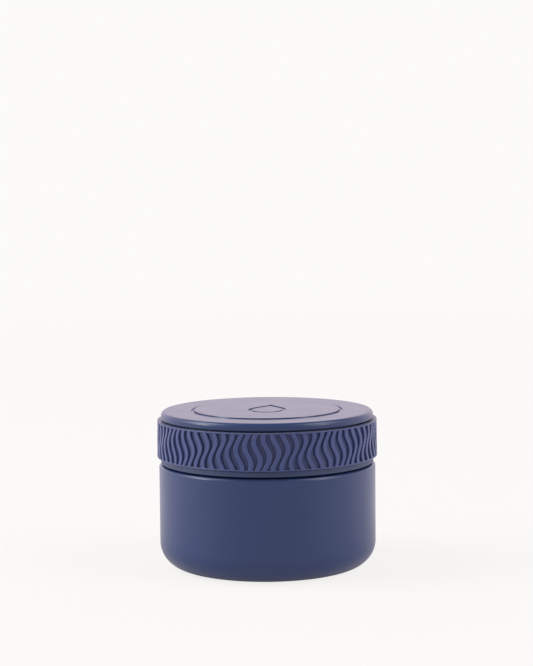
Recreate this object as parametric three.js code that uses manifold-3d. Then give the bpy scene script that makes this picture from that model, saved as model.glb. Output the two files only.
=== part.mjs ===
// Candle tin: a coated steel tin with double walls and a screw lid with a ribbed grip band.
// Millimetres, +Z up, origin at the centre of the rim the tin stands on.
// The front of the tin, where the thumb lands, faces -Y.

import * as THREE from 'three';
import { mergeVertices } from 'three/addons/utils/BufferGeometryUtils.js';
import Module from 'manifold-3d';

const wasm = await Module();
wasm.setup();

// ---- driving dimensions ----

const FACETS = 48; // straight facets in one turn of a plain round piece
const GAP = 0.3; // clearance between neighbours that touch on the real tin

// tin body
const bodyR = 50.25; // outside radius
const bodyH = 48; // height of the shoulder
const shellWall = 0.8; // steel and its coating
const footFillet = 11.9; // large radius at the foot
const shoulderFillet = 1.3;
const rimWidth = 1.7; // flat ring that the tin stands on
const rimTurn = 0.8; // rounding on the inside of that ring
const rimLipH = 2.6; // height of the lip turned up inside it

// base plate
const baseRecess = 1.8;
const baseWall = 0.8;
const baseFlangeH = 3.2;
const dimpleR = 5.0;
const dimpleDepth = 1.2;

// neck and liner
const neckInset = 5.65; // from the outside of the body in to the neck
const neckWall = 0.8;
const neckH = 12.2; // height of the neck above the shoulder
const neckFootClear = 1.7; // from the neck's foot flange out to the wall of the shell
const weldGap = 0.4; // clearance round the neck and the base plate, where the real ones are welded
const linerWall = 0.6;
const linerBottom = 7.0; // underside of the liner's floor
const linerFillet = 8.6;
const linerLip = 0.5; // thickness of the lip that folds over the neck

// screw thread, three starts
const threadStarts = 3;
const threadLead = 12;
const threadTurn = 0.42; // part of a turn that each ridge runs for
const threadStartUp = 3.7; // from the shoulder up to the centre of a neck ridge where it starts
const threadHeight = 1.3;
const threadRoot = 2.0;
const threadCrest = 1.0;
const threadCrestClear = 0.6; // from a ridge's crest to the wall it faces
const threadFlankClear = 0.15; // added to the ridges' mean width, between a lid ridge and a neck ridge

// lid
const seam = 0.8; // shadow gap between the shoulder and the lid
const ringInset = 0.95; // from the outside of the body in to the plain ring below the grip band
const lidRingH = 2.5;
const deckWall = 2.4;
const plateInset = 1.05; // from the outside of the body in to the plate's edge
const plateLift = 0.7; // shadow gap between the grip band and the plate
const plateWall = 1.0;
const plateRimWall = 0.8;
const plateRimH = 3.4;
const plateFillet = 1.8;
const grooveR = 33.7; // inside radius of the ring groove in the plate
const grooveWidth = 1.5;
const grooveDepth = 0.5;
const discRaise = 0.4; // the disc inside the groove stands this much proud of the plate's rim

// grip band
const bandProudBottom = 0.85; // how far the band stands out from the body at its lower edge
const bandProudTop = 0.65;
const bandH = 17.0;
const lipH = 0.6; // plain lip above and below the ribs
const lipBevel = 0.25;
const ribCount = 78;
const ribDepth = 1.1;
const ribTop = 2.0; // width of a rib's flat top
const ribFlank = 0.25; // what each sloping side adds
const ribRows = 6; // straight pieces in the length of one rib
const waveLength = 16.6;
const waveSwing = 1.45; // how far a rib leans to each side
const waveRounds = 8; // times the wave pattern repeats round the lid
const waveStart = THREE.MathUtils.degToRad(307);
const firstRib = THREE.MathUtils.degToRad(1.82);

// lid lining
const gasketH = 1.8;
const gasketClear = 0.4; // between the gasket and the cover it is stretched over
const coverInset = 1.2; // from the liner's wall in to the cover
const coverWall = 0.7;
const coverFlangeInset = 0.9; // from the lid's bore in to the cover's flange
const coverDepth = 5.8; // from the flange down to the face over the contents
const coverFillet = 2.0;

// emblem cut in the plate, a plain flame
const flameR = 8.5;
const flameTipY = 14;
const flameLine = 1.7;
const flameDepth = 0.4;

// ---- sizes that follow from them ----

const neckR = bodyR - neckInset;
const neckTop = bodyH + neckH;
const neckBore = neckR - neckWall;
const linerR = neckBore - weldGap;
const linerBore = linerR - linerWall;
const lipUnder = neckTop + GAP;
const lipTop = lipUnder + linerLip;

const threadStartZ = bodyH + threadStartUp;
const threadDrop = (threadRoot + threadCrest) / 2 + threadFlankClear;
const coreBore = neckR + threadHeight + threadCrestClear;

const lidRingR = bodyR - ringInset;
const plateR = bodyR - plateInset;
const coreR = plateR - plateRimWall - GAP;
const bandBottomR = bodyR + bandProudBottom;
const bandTopR = bodyR + bandProudTop;

const lidBottom = bodyH + seam;
const bandBottom = lidBottom + lidRingH + GAP;
const bandTop = bandBottom + bandH;
const plateRimBottom = bandTop + plateLift;
const lidTop = plateRimBottom + plateRimH;
const plateUnder = lidTop - plateWall;
const coreTop = plateUnder - GAP;
const deckUnder = coreTop - deckWall;

const gasketBottom = lipTop + GAP;
const gasketTop = gasketBottom + gasketH;
const flangeUnder = gasketTop + GAP;
const flangeTop = flangeUnder + coverWall;
const seatUnder = flangeTop + GAP;
const coverR = linerBore - coverInset;
const coverFlangeR = coreBore - coverFlangeInset;

// ---- helpers ----

const point = (r, z) => new THREE.Vector2(r, z);

// Points along an arc in the profile plane, angles in degrees.
function arc(r0, z0, radius, fromDeg, toDeg, steps) {
  const points = [];
  for (let i = 0; i <= steps; i++) {
    const a = THREE.MathUtils.degToRad(fromDeg + ((toDeg - fromDeg) * i) / steps);
    points.push(point(r0 + radius * Math.cos(a), z0 + radius * Math.sin(a)));
  }
  return points;
}

function signedVolume(geometry) {
  const at = geometry.attributes.position;
  const index = geometry.index;
  const [a, b, c] = [new THREE.Vector3(), new THREE.Vector3(), new THREE.Vector3()];
  let sum = 0;
  for (let i = 0; i < index.count; i += 3) {
    a.fromBufferAttribute(at, index.getX(i));
    b.fromBufferAttribute(at, index.getX(i + 1));
    c.fromBufferAttribute(at, index.getX(i + 2));
    sum += a.dot(b.cross(c)) / 6;
  }
  return sum;
}

// Welds the corners, drops flat triangles and turns every face outwards.
function weld(geometry) {
  geometry.deleteAttribute('normal');
  geometry.deleteAttribute('uv');
  const merged = mergeVertices(geometry, 1e-4);
  const old = Array.from(merged.index.array);
  const kept = [];
  for (let i = 0; i < old.length; i += 3) {
    const [a, b, c] = old.slice(i, i + 3);
    if (a !== b && b !== c && c !== a) {
      kept.push(a, b, c);
    }
  }
  merged.setIndex(kept);
  if (signedVolume(merged) < 0) {
    merged.setIndex(kept.reverse());
  }
  return merged;
}

// Turns a profile about the Z axis. It starts and ends on the axis, or it is closed on itself.
function turned(profile) {
  const points = profile.flat();
  const first = points[0];
  const last = points[points.length - 1];
  if (first.x > 0 || last.x > 0) {
    points.push(first.clone());
  }
  const geometry = new THREE.LatheGeometry(points, FACETS);
  geometry.rotateX(Math.PI / 2);
  return weld(geometry);
}

function toManifold(geometry) {
  return new wasm.Manifold(
    new wasm.Mesh({
      numProp: 3,
      vertProperties: new Float32Array(geometry.attributes.position.array),
      triVerts: new Uint32Array(geometry.index.array),
    }),
  );
}

function fromManifold(manifold) {
  const mesh = manifold.getMesh();
  const geometry = new THREE.BufferGeometry();
  geometry.setAttribute('position', new THREE.BufferAttribute(new Float32Array(mesh.vertProperties), 3));
  geometry.setIndex(Array.from(mesh.triVerts));
  return geometry;
}

// One helical ridge as a closed bar. The foot sinks into the wall that it stands on.
function threadRidge(wallR, outwards, startZ, startAngle) {
  const side = outwards ? 1 : -1;
  const steps = Math.round(threadTurn * FACETS);
  const sunk = 0.25;
  const vertices = [];
  const faces = [];
  for (let i = 0; i <= steps; i++) {
    const turns = i / FACETS;
    const angle = startAngle + turns * 2 * Math.PI;
    const z = startZ + turns * threadLead;
    const fromEnd = Math.min(i, steps - i);
    const grow = Math.min(1, 0.3 + 0.35 * fromEnd);
    const rootR = wallR - side * sunk;
    const crestR = wallR + side * threadHeight * grow;
    const half = [threadRoot / 2, (threadCrest / 2) * grow];
    const ring = [
      [rootR, z - half[0]],
      [crestR, z - half[1]],
      [crestR, z + half[1]],
      [rootR, z + half[0]],
    ];
    for (const [r, height] of ring) {
      vertices.push(r * Math.cos(angle), r * Math.sin(angle), height);
    }
    if (i > 0) {
      const now = i * 4;
      const before = now - 4;
      for (let k = 0; k < 4; k++) {
        const next = (k + 1) % 4;
        faces.push(before + k, before + next, now + k);
        faces.push(before + next, now + next, now + k);
      }
    }
  }
  const end = steps * 4;
  faces.push(0, 2, 1, 0, 3, 2);
  faces.push(end, end + 1, end + 2, end, end + 2, end + 3);
  const geometry = new THREE.BufferGeometry();
  geometry.setAttribute('position', new THREE.Float32BufferAttribute(vertices, 3));
  geometry.setIndex(faces);
  return weld(geometry);
}

function withThread(geometry, wallR, outwards, startZ) {
  let solid = toManifold(geometry);
  for (let i = 0; i < threadStarts; i++) {
    const angle = (i * 2 * Math.PI) / threadStarts;
    solid = solid.add(toManifold(threadRidge(wallR, outwards, startZ, angle)));
  }
  return fromManifold(solid);
}

// ---- tin body ----

// The outer wall: foot radius, straight side and a small rounded shoulder.
function outerShell() {
  const footR = bodyR - footFillet;
  const lipR = footR - rimWidth;
  const sideTop = bodyH - shoulderFillet;
  const mouthR = neckR + weldGap;
  return turned([
    point(lipR - rimTurn, rimLipH),
    arc(lipR, rimTurn, rimTurn, 180, 270, 2),
    arc(footR, footFillet, footFillet, -90, 0, 6),
    arc(bodyR - shoulderFillet, sideTop, shoulderFillet, 0, 90, 3),
    point(mouthR, bodyH),
    point(mouthR, bodyH - shellWall),
    point(bodyR - shoulderFillet, bodyH - shellWall),
    point(bodyR - shellWall, sideTop),
    arc(footR, footFillet, footFillet - shellWall, 0, -90, 5),
    point(lipR, rimTurn),
    point(lipR, rimLipH),
  ]);
}

// The base plate: a pressed disc with an upturned flange and a dimple for the seal.
function outerBase() {
  const edgeR = bodyR - footFillet - rimWidth - rimTurn - weldGap;
  const top = baseRecess + baseWall;
  const slope = 1.4;
  return turned([
    point(0, baseRecess + dimpleDepth),
    point(dimpleR, baseRecess + dimpleDepth),
    point(dimpleR + slope, baseRecess),
    point(edgeR - baseWall, baseRecess),
    point(edgeR, top),
    point(edgeR, baseRecess + baseFlangeH),
    point(edgeR - baseWall, baseRecess + baseFlangeH),
    point(edgeR - baseWall, top + 0.3),
    point(edgeR - baseWall - 0.3, top),
    point(dimpleR + slope + 0.4, top),
    point(dimpleR + 0.4, top + dimpleDepth),
    point(0, top + dimpleDepth),
  ]);
}

// The bead that closes the pumping hole, up in the dimple.
function vacuumPlug() {
  const top = baseRecess + dimpleDepth - GAP;
  return turned([
    point(0, baseRecess + 0.2),
    point(2.4, baseRecess + 0.3),
    point(3.5, top - 0.2),
    point(3.5, top),
    point(0, top),
  ]);
}

// The neck: a threaded steel collar with a flange under the shoulder.
function neckRing() {
  const footTop = bodyH - shellWall - GAP;
  const footR = bodyR - shellWall - neckFootClear;
  const collar = turned([
    point(neckBore, footTop - neckWall),
    point(footR, footTop - neckWall),
    point(footR, footTop),
    point(neckR, footTop),
    point(neckR, neckTop),
    point(neckBore, neckTop),
  ]);
  return withThread(collar, neckR, true, threadStartZ);
}

// The inner cup, with a lip that folds out over the neck.
function innerLiner() {
  const bendR = linerR - linerFillet;
  const bendZ = linerBottom + linerFillet;
  return turned([
    point(0, linerBottom),
    arc(bendR, bendZ, linerFillet, -90, 0, 4),
    point(linerR, lipUnder),
    point(neckR, lipUnder),
    point(neckR, lipTop - 0.15),
    point(neckR - 0.25, lipTop),
    point(linerBore + 0.35, lipTop),
    point(linerBore, lipTop - 0.35),
    arc(bendR, bendZ, linerFillet - linerWall, 0, -90, 4),
    point(0, linerBottom + linerWall),
  ]);
}

// The getter pill held under the liner, which keeps the vacuum clean.
function getterPill() {
  const top = linerBottom - GAP;
  const pill = turned([
    point(0, top - 1.4),
    point(4.2, top - 1.4),
    point(4.8, top - 0.8),
    point(4.8, top),
    point(0, top),
  ]);
  pill.translate(20, 0, 0);
  return pill;
}

// ---- lid ----

// The moulded core: threaded skirt, plain lower ring, deck and the seat over the gasket.
function lidCore() {
  const ringTop = lidBottom + lidRingH;
  const packingR = coverR + 1.8;
  const core = turned([
    point(coreBore, lidBottom + 0.4),
    point(coreBore + 0.4, lidBottom),
    arc(lidRingR - 0.6, lidBottom + 0.6, 0.6, -90, 0, 2),
    point(lidRingR, ringTop - 0.2),
    point(lidRingR - 0.2, ringTop),
    point(coreR, ringTop),
    point(coreR, coreTop - 0.4),
    point(coreR - 0.4, coreTop),
    point(0, coreTop),
    point(0, deckUnder),
    point(packingR, deckUnder),
    point(packingR, seatUnder),
    point(coreBore, seatUnder),
  ]);
  return withThread(core, coreBore, false, threadStartZ - threadDrop);
}

// The emblem: the outline of a flame with a rounded foot and a leaning tip.
function flameOutline(scale) {
  const foot = -0.35 * flameTipY;
  const r = flameR * scale;
  const tipY = foot + (flameTipY - foot) * scale;
  const shape = new THREE.Shape();
  shape.moveTo(r, foot);
  shape.bezierCurveTo(r, foot + r * 0.9, r * 0.35, tipY * 0.5, r * 0.25, tipY);
  shape.bezierCurveTo(-r * 0.5, tipY * 0.65, -r, foot + r * 0.9, -r, foot);
  shape.absarc(0, foot, r, Math.PI, 2 * Math.PI, false);
  return shape;
}

// The lid plate: a pressed steel cap with a ring groove and the emblem sunk into its top.
function lidPlate() {
  const rimInner = plateR - plateRimWall;
  const cap = turned([
    point(rimInner, plateRimBottom),
    point(plateR - 0.2, plateRimBottom),
    point(plateR, plateRimBottom + 0.2),
    arc(plateR - plateFillet, lidTop - plateFillet, plateFillet, 0, 90, 4),
    point(grooveR + grooveWidth, lidTop),
    point(grooveR + grooveWidth - 0.15, lidTop - grooveDepth),
    point(grooveR + 0.15, lidTop - grooveDepth),
    point(grooveR, lidTop + discRaise),
    point(0, lidTop + discRaise),
    point(0, plateUnder),
    point(rimInner - 0.5, plateUnder),
    point(rimInner, plateUnder - 0.5),
  ]);
  const line = flameOutline(1);
  line.holes.push(flameOutline(1 - flameLine / flameR));
  const cutter = new THREE.ExtrudeGeometry(line, { depth: 1, bevelEnabled: false, curveSegments: 8 });
  cutter.translate(0, 0, lidTop + discRaise - flameDepth);
  return fromManifold(toManifold(cap).subtract(toManifold(weld(cutter))));
}

// The grip band: a silicone sleeve with wavy ribs between two plain lips.
// Each rib starts a little later in the wave than its neighbour, so the pattern leans round the lid.
function gripBand() {
  const inner = coreR + weldGap;
  const bandRadius = (z) => THREE.MathUtils.mapLinear(z, bandBottom, bandTop, bandBottomR, bandTopR);
  const ribAngle = (rib) => firstRib + (rib * 2 * Math.PI) / ribCount;
  const sway = (rib, z) =>
    (waveSwing / bandBottomR) *
    Math.sin((2 * Math.PI * (z - bandBottom)) / waveLength - waveRounds * ribAngle(rib) + waveStart);
  const across = [
    [-ribTop / 2 - ribFlank, ribDepth],
    [-ribTop / 2, 0],
    [ribTop / 2, 0],
    [ribTop / 2 + ribFlank, ribDepth],
  ];
  const vertices = [];
  const faces = [];
  const addVertex = (r, angle, z) => {
    vertices.push(r * Math.cos(angle), r * Math.sin(angle), z);
    return vertices.length / 3 - 1;
  };
  // A row is one level of the sleeve, as a list of vertices for each rib.
  const plainRow = (r, z, swayZ) =>
    Array.from({ length: ribCount }, (_, rib) => [addVertex(r, ribAngle(rib) + sway(rib, swayZ), z)]);
  const ribRow = (z, ribbed) =>
    Array.from({ length: ribCount }, (_, rib) =>
      across.map(([offset, depth]) => {
        const r = bandRadius(z) - (ribbed ? depth : 0);
        return addVertex(r, ribAngle(rib) + sway(rib, z) + offset / bandBottomR, z);
      }),
    );
  // Joins two rows. A row has one or four vertices at each rib, and the odd ones close as a fan.
  const join = (low, high) => {
    for (let rib = 0; rib < ribCount; rib++) {
      const next = (rib + 1) % ribCount;
      const a = [...low[rib], low[next][0]];
      const b = [...high[rib], high[next][0]];
      if (a.length === b.length) {
        for (let k = 0; k + 1 < a.length; k++) {
          faces.push(a[k], a[k + 1], b[k], a[k + 1], b[k + 1], b[k]);
        }
      } else if (a.length < b.length) {
        for (let k = 0; k + 2 < b.length; k++) {
          faces.push(a[0], b[k + 1], b[k]);
        }
        faces.push(a[0], a[1], b[b.length - 2], a[1], b[b.length - 1], b[b.length - 2]);
      } else {
        for (let k = 0; k + 2 < a.length; k++) {
          faces.push(b[0], a[k], a[k + 1]);
        }
        faces.push(b[0], a[a.length - 2], b[1], b[1], a[a.length - 2], a[a.length - 1]);
      }
    }
  };
  const ribLow = bandBottom + lipH;
  const ribHigh = bandTop - lipH;
  const rows = [
    plainRow(inner, bandBottom, ribLow),
    plainRow(bandBottomR - lipBevel, bandBottom, ribLow),
    ribRow(ribLow, false),
  ];
  for (let i = 0; i <= ribRows; i++) {
    rows.push(ribRow(THREE.MathUtils.lerp(ribLow, ribHigh, i / ribRows), true));
  }
  rows.push(ribRow(ribHigh, false));
  rows.push(plainRow(bandTopR - lipBevel, bandTop, ribHigh));
  rows.push(plainRow(inner, bandTop, ribHigh));
  for (let i = 0; i < rows.length; i++) {
    join(rows[i], rows[(i + 1) % rows.length]);
  }
  const geometry = new THREE.BufferGeometry();
  geometry.setAttribute('position', new THREE.Float32BufferAttribute(vertices, 3));
  geometry.setIndex(faces);
  return weld(geometry);
}

// The foam disc that fills the lid, its lower edge cut back to clear the bend of the cover.
function lidFoam() {
  const r = coverR - coverWall - gasketClear;
  const bottom = flangeUnder - coverDepth + coverWall + GAP;
  return turned([
    point(0, bottom),
    point(r - 1.1, bottom),
    point(r, bottom + 1.3),
    point(r, deckUnder - GAP),
    point(0, deckUnder - GAP),
  ]);
}

// The steel cover over the contents, with a flange held above the gasket.
function lidCover() {
  const bottom = flangeUnder - coverDepth;
  const bendR = coverR - coverFillet;
  const bendZ = bottom + coverFillet;
  return turned([
    point(0, bottom),
    arc(bendR, bendZ, coverFillet, -90, 0, 3),
    point(coverR, flangeUnder),
    point(coverFlangeR, flangeUnder),
    point(coverFlangeR, flangeTop),
    point(coverR - coverWall, flangeTop),
    arc(bendR, bendZ, coverFillet - coverWall, 0, -90, 3),
    point(0, bottom + coverWall),
  ]);
}

// The silicone ring that seals on the tin's lip.
function lidGasket() {
  const inner = coverR + gasketClear;
  const outer = coverFlangeR;
  const soft = 0.35;
  return turned([
    point(inner + soft, gasketBottom),
    point(outer - soft, gasketBottom),
    point(outer, gasketBottom + soft),
    point(outer, gasketTop - soft),
    point(outer - soft, gasketTop),
    point(inner + soft, gasketTop),
    point(inner, gasketTop - soft),
    point(inner, gasketBottom + soft),
  ]);
}

// ---- assembly ----

const coating = { color: 0x3a4670, roughness: 0.45, metalness: 0.0 };
const steel = { color: 0xb9bbbd, roughness: 0.35, metalness: 1.0 };
const moulding = { color: 0x3b4670, roughness: 0.5, metalness: 0.0 };
const silicone = { color: 0x38426c, roughness: 0.7, metalness: 0.0 };
const sealSilicone = { color: 0xd9dad8, roughness: 0.6, metalness: 0.0 };
const foam = { color: 0xe9e4d6, roughness: 0.95, metalness: 0.0 };
const getterMetal = { color: 0x6f7072, roughness: 0.6, metalness: 1.0 };
const sealBead = { color: 0x2c2c2e, roughness: 0.3, metalness: 0.0 };

const pieces = [
  ['outer_shell', outerShell(), coating],
  ['outer_base', outerBase(), coating],
  ['vacuum_plug', vacuumPlug(), sealBead],
  ['neck_ring', neckRing(), steel],
  ['inner_liner', innerLiner(), steel],
  ['getter_pill', getterPill(), getterMetal],
  ['lid_core', lidCore(), moulding],
  ['lid_plate', lidPlate(), coating],
  ['grip_band', gripBand(), silicone],
  ['lid_foam', lidFoam(), foam],
  ['lid_cover', lidCover(), steel],
  ['lid_gasket', lidGasket(), sealSilicone],
];

const tin = new THREE.Group();
tin.name = 'candle_tin';
for (const [name, geometry, finish] of pieces) {
  const mesh = new THREE.Mesh(geometry, new THREE.MeshStandardMaterial(finish));
  mesh.name = name;
  tin.add(mesh);
}

export default tin;
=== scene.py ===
# %% [markdown]
# # A candle tin with a screw lid
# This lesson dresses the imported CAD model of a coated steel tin. The CAD gives every piece its
# place and size. Here each piece is modelled again with true rounds and fine edges, given the
# finish of the real thing, and set under soft studio light. All pieces stand in the CAD's own
# frame, in metres, with +Z up and the tin's foot at the origin.

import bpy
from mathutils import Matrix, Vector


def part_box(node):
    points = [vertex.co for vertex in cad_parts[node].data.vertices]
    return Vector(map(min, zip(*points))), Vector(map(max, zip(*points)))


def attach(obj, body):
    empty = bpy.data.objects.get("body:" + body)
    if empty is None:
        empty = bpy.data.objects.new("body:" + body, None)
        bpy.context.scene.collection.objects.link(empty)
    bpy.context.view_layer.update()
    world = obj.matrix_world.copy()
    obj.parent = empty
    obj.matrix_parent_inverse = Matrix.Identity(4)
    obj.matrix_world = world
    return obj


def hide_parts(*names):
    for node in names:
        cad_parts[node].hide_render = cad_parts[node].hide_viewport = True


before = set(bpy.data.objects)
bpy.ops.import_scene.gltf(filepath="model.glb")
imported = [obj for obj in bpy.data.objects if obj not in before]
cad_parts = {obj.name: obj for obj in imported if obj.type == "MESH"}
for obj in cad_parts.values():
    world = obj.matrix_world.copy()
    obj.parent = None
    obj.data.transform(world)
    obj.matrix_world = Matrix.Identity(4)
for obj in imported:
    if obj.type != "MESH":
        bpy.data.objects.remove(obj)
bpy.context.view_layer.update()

# %% Tools
import math

import bmesh
import bpy
from mathutils import Matrix, Vector

MM = 0.001
ROUND = 160  # sides of a turned piece, so that a flat is never seen
SMALL_ROUND = 64  # sides of a piece a few millimetres across
TURN = 2 * math.pi

# %% [markdown]
# ## Sizes
# A node's box gives its outside radius and its two heights. They are read once, in millimetres,
# and every piece below is drawn from them, so it lands where the CAD put it. Wall thicknesses
# and small radii don't show in a box, so they are named here.

# %% Sizes from the CAD, in millimetres


def size_of(node):
    low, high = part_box(node)
    return high.x / MM, low.z / MM, high.z / MM


shell_r, _, shell_top = size_of("outer_shell")
liner_lip_r, liner_under, liner_top = size_of("inner_liner")
neck_foot_r, neck_under, neck_top = size_of("neck_ring")
base_r, base_under, base_top = size_of("outer_base")
bead_r, bead_under, bead_top = size_of("vacuum_plug")
ring_r, lid_under, core_top = size_of("lid_core")
plate_r, plate_under, lid_top = size_of("lid_plate")
band_r, band_under, band_top = size_of("grip_band")
foam_r, foam_under, foam_top = size_of("lid_foam")
cover_r, cover_under, cover_top = size_of("lid_cover")
gasket_r, gasket_under, gasket_top = size_of("lid_gasket")
print(f"tin {2 * shell_r:.1f} mm across, {lid_top:.1f} mm tall, band {band_top - band_under:.1f} mm")

GAP = 0.3  # clearance between neighbours
SHELL_WALL = 0.8
FOOT_FILLET = 11.9
SHOULDER_FILLET = 1.3
RIM_WIDTH = 1.7
LINER_WALL = 0.6
LINER_FILLET = 8.6
NECK_WALL = 0.8

# %% [markdown]
# ## Modelling helpers
# Every piece of this tin but the ribs, threads and emblem is round, and a sheet-metal spinner or a
# lathe would make it from its section. In Blender the same section is walked round by hand: a
# circle is added, then its edge is extruded and scaled from station to station. Corners are
# bevelled afterwards, which keeps the section easy to read.

# %% Helpers for turned pieces


def only(piece):
    """Selects one object and nothing else."""
    bpy.ops.object.select_all(action="DESELECT")
    piece.select_set(True)
    bpy.context.view_layer.objects.active = piece


def settle(piece):
    """Puts a piece's place, turn and scale into its mesh."""
    only(piece)
    bpy.ops.object.transform_apply(location=True, rotation=True, scale=True)


def pull_ring(here, there):
    """Extrudes the selected ring from one station to the next, or closes it on the axis."""
    (r0, z0), (r1, z1) = here, there
    bpy.ops.mesh.extrude_edges_move(TRANSFORM_OT_translate={"value": (0, 0, (z1 - z0) * MM)})
    if r1 == 0:
        bpy.ops.mesh.merge(type="CENTER")
    else:
        grow = r1 / r0
        bpy.ops.transform.resize(value=(grow, grow, 1), center_override=(0, 0, z1 * MM))


def select_rings(piece, stations):
    """In edit mode, selects the round edges that lie at these stations."""
    mesh = bmesh.from_edit_mesh(piece.data)
    bpy.ops.mesh.select_mode(type="EDGE")
    bpy.ops.mesh.select_all(action="DESELECT")
    near = 0.02 * MM

    def lies_at(vert, station):
        r, z = station
        return abs(vert.co.xy.length - r * MM) < near and abs(vert.co.z - z * MM) < near

    for edge in mesh.edges:
        if any(all(lies_at(v, s) for v in edge.verts) for s in stations):
            edge.select_set(True)
    bmesh.update_edit_mesh(piece.data)


def turned(name, section, closed=True, rounds=(), sides=ROUND):
    """A turned piece from its section, a list of (radius, height) stations.

    A closed section is a ring, such as a wall. An open one starts and ends with a flat disc. Each
    entry of rounds is (station, radius, segments)."""
    bpy.ops.object.select_all(action="DESELECT")
    first, last = section[0], section[-1]
    bpy.ops.mesh.primitive_circle_add(
        vertices=sides, radius=first[0] * MM, location=(0, 0, first[1] * MM)
    )
    piece = bpy.context.object
    piece.name = name
    settle(piece)
    bpy.ops.object.mode_set(mode="EDIT")
    bpy.ops.mesh.select_mode(type="EDGE")
    bpy.ops.mesh.select_all(action="SELECT")
    for here, there in zip(section, section[1:]):
        pull_ring(here, there)
    if closed:
        select_rings(piece, [first, last])
        bpy.ops.mesh.bridge_edge_loops()
    else:
        pull_ring(last, (0, last[1]))
        select_rings(piece, [first])
        pull_ring(first, (0, first[1]))
    for station, radius, segments in rounds:
        select_rings(piece, [station])
        bpy.ops.mesh.bevel(offset=radius * MM, segments=segments, affect="EDGES")
    bpy.ops.mesh.select_all(action="SELECT")
    bpy.ops.mesh.remove_doubles(threshold=1e-7)
    bpy.ops.mesh.normals_make_consistent(inside=False)
    bpy.ops.object.mode_set(mode="OBJECT")
    return piece


def joined(name, pieces):
    """Joins pieces into the first one."""
    bpy.ops.object.select_all(action="DESELECT")
    for piece in pieces:
        piece.select_set(True)
    bpy.context.view_layer.objects.active = pieces[0]
    bpy.ops.object.join()
    pieces[0].name = name
    return pieces[0]


def apply_modifier(piece, kind, **settings):
    """Adds one modifier, sets it and applies it."""
    only(piece)
    modifier = piece.modifiers.new(kind.lower(), kind)
    for key, value in settings.items():
        setattr(modifier, key, value)
    bpy.ops.object.modifier_apply(modifier=modifier.name)


def finish_edges(piece, angle=40):
    """Smooth shading on the rounds, with flat faces kept flat."""
    only(piece)
    bpy.ops.object.shade_smooth_by_angle(angle=math.radians(angle))
    apply_modifier(piece, "WEIGHTED_NORMAL", keep_sharp=True, weight=80)
    print(f"{piece.name}: {len(piece.data.polygons)} faces")


def copy_of(piece, name, turn=0.0):
    """A copy with its own mesh, turned about the tin's axis."""
    twin = bpy.data.objects.new(name, piece.data.copy())
    bpy.context.collection.objects.link(twin)
    twin.data.transform(Matrix.Rotation(turn, 4, "Z"))
    return twin


# %% [markdown]
# ## Finish helpers
# Colours are written as the sRGB hex values that a colour card gives, and turned to linear once.
# One function adds a node, sets it and wires it.

# %% Helpers for finishes


def paint(hex_code):
    """An sRGB hex colour as linear RGBA."""
    channels = [int(hex_code[i : i + 2], 16) / 255 for i in (1, 3, 5)]
    return (*[c / 12.92 if c <= 0.04045 else ((c + 0.055) / 1.055) ** 2.4 for c in channels], 1.0)


def add(tree, kind, settings=None, values=None, wires=None):
    """Adds a node. settings are its properties, values its sockets' numbers, wires its inputs."""
    node = tree.nodes.new(kind)
    for key, value in (settings or {}).items():
        setattr(node, key, value)
    for socket, value in (values or {}).items():
        node.inputs[socket].default_value = value
    for socket, source in (wires or {}).items():
        tree.links.new(source, node.inputs[socket])
    return node


def new_finish(name, **surface):
    """A material with a Principled surface, its node tree emptied of all else."""
    finish = bpy.data.materials.new(name)
    finish.use_nodes = True
    tree = finish.node_tree
    tree.nodes.clear()
    values = {key.replace("_", " "): value for key, value in surface.items()}
    shader = add(tree, "ShaderNodeBsdfPrincipled", values=values)
    add(tree, "ShaderNodeOutputMaterial", wires={"Surface": shader.outputs["BSDF"]})
    return finish, tree, shader


def grain(tree, size_mm, detail=2.0, vector=None):
    """Noise whose lumps are about this many millimetres across, on Object coordinates."""
    if vector is None:
        vector = add(tree, "ShaderNodeTexCoord").outputs["Object"]
    values = {"Scale": 1 / (size_mm * MM), "Detail": detail}
    noise = add(tree, "ShaderNodeTexNoise", values=values, wires={"Vector": vector})
    return noise.outputs["Fac"]


def spread(tree, source, low, high):
    """Maps a 0 to 1 pattern onto a range."""
    values = {"From Min": 0.25, "From Max": 0.75, "To Min": low, "To Max": high}
    return add(tree, "ShaderNodeMapRange", values=values, wires={"Value": source}).outputs["Result"]


def smooth_range(tree, source, reach, levels):
    """Maps a reach of values onto a range of levels, with soft ends."""
    settings = {"interpolation_type": "SMOOTHSTEP"}
    values = {"From Min": reach[0], "From Max": reach[1], "To Min": levels[0], "To Max": levels[1]}
    return add(tree, "ShaderNodeMapRange", settings, values, {"Value": source}).outputs["Result"]


def tint(tree, source, dark, light):
    """Blends two paints by a pattern."""
    mix = add(tree, "ShaderNodeMix", {"data_type": "RGBA"})
    tree.links.new(source, mix.inputs["Factor"])
    mix.inputs[6].default_value = paint(dark)
    mix.inputs[7].default_value = paint(light)
    return mix.outputs[2]


def bumped(tree, shader, height, depth_mm):
    """Adds a bump of a real depth to the surface."""
    bump = add(tree, "ShaderNodeBump", values={"Distance": depth_mm * MM}, wires={"Height": height})
    tree.links.new(bump.outputs["Normal"], shader.inputs["Normal"])


# %% [markdown]
# ## Navy powder coating
# The body and the lid plate are steel, sprayed with polyester powder and baked. The powder melts
# into a satin skin with a faint orange peel, about 0.8 mm from lump to lump, and no metal shows.
# So it is a dielectric at IOR 1.5 with a roughness just under 0.3, which spreads a lamp into a
# broad soft highlight. The peel's depth is a real one, a few thousandths of a millimetre, and it
# only breaks up the edges of the highlights. The colour and the gloss drift a little over
# a centimetre or so, as the powder lies thicker and thinner.

# %% Powder coating
NAVY_DARK, NAVY_LIGHT = "#273A64", "#2B3F69"


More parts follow.
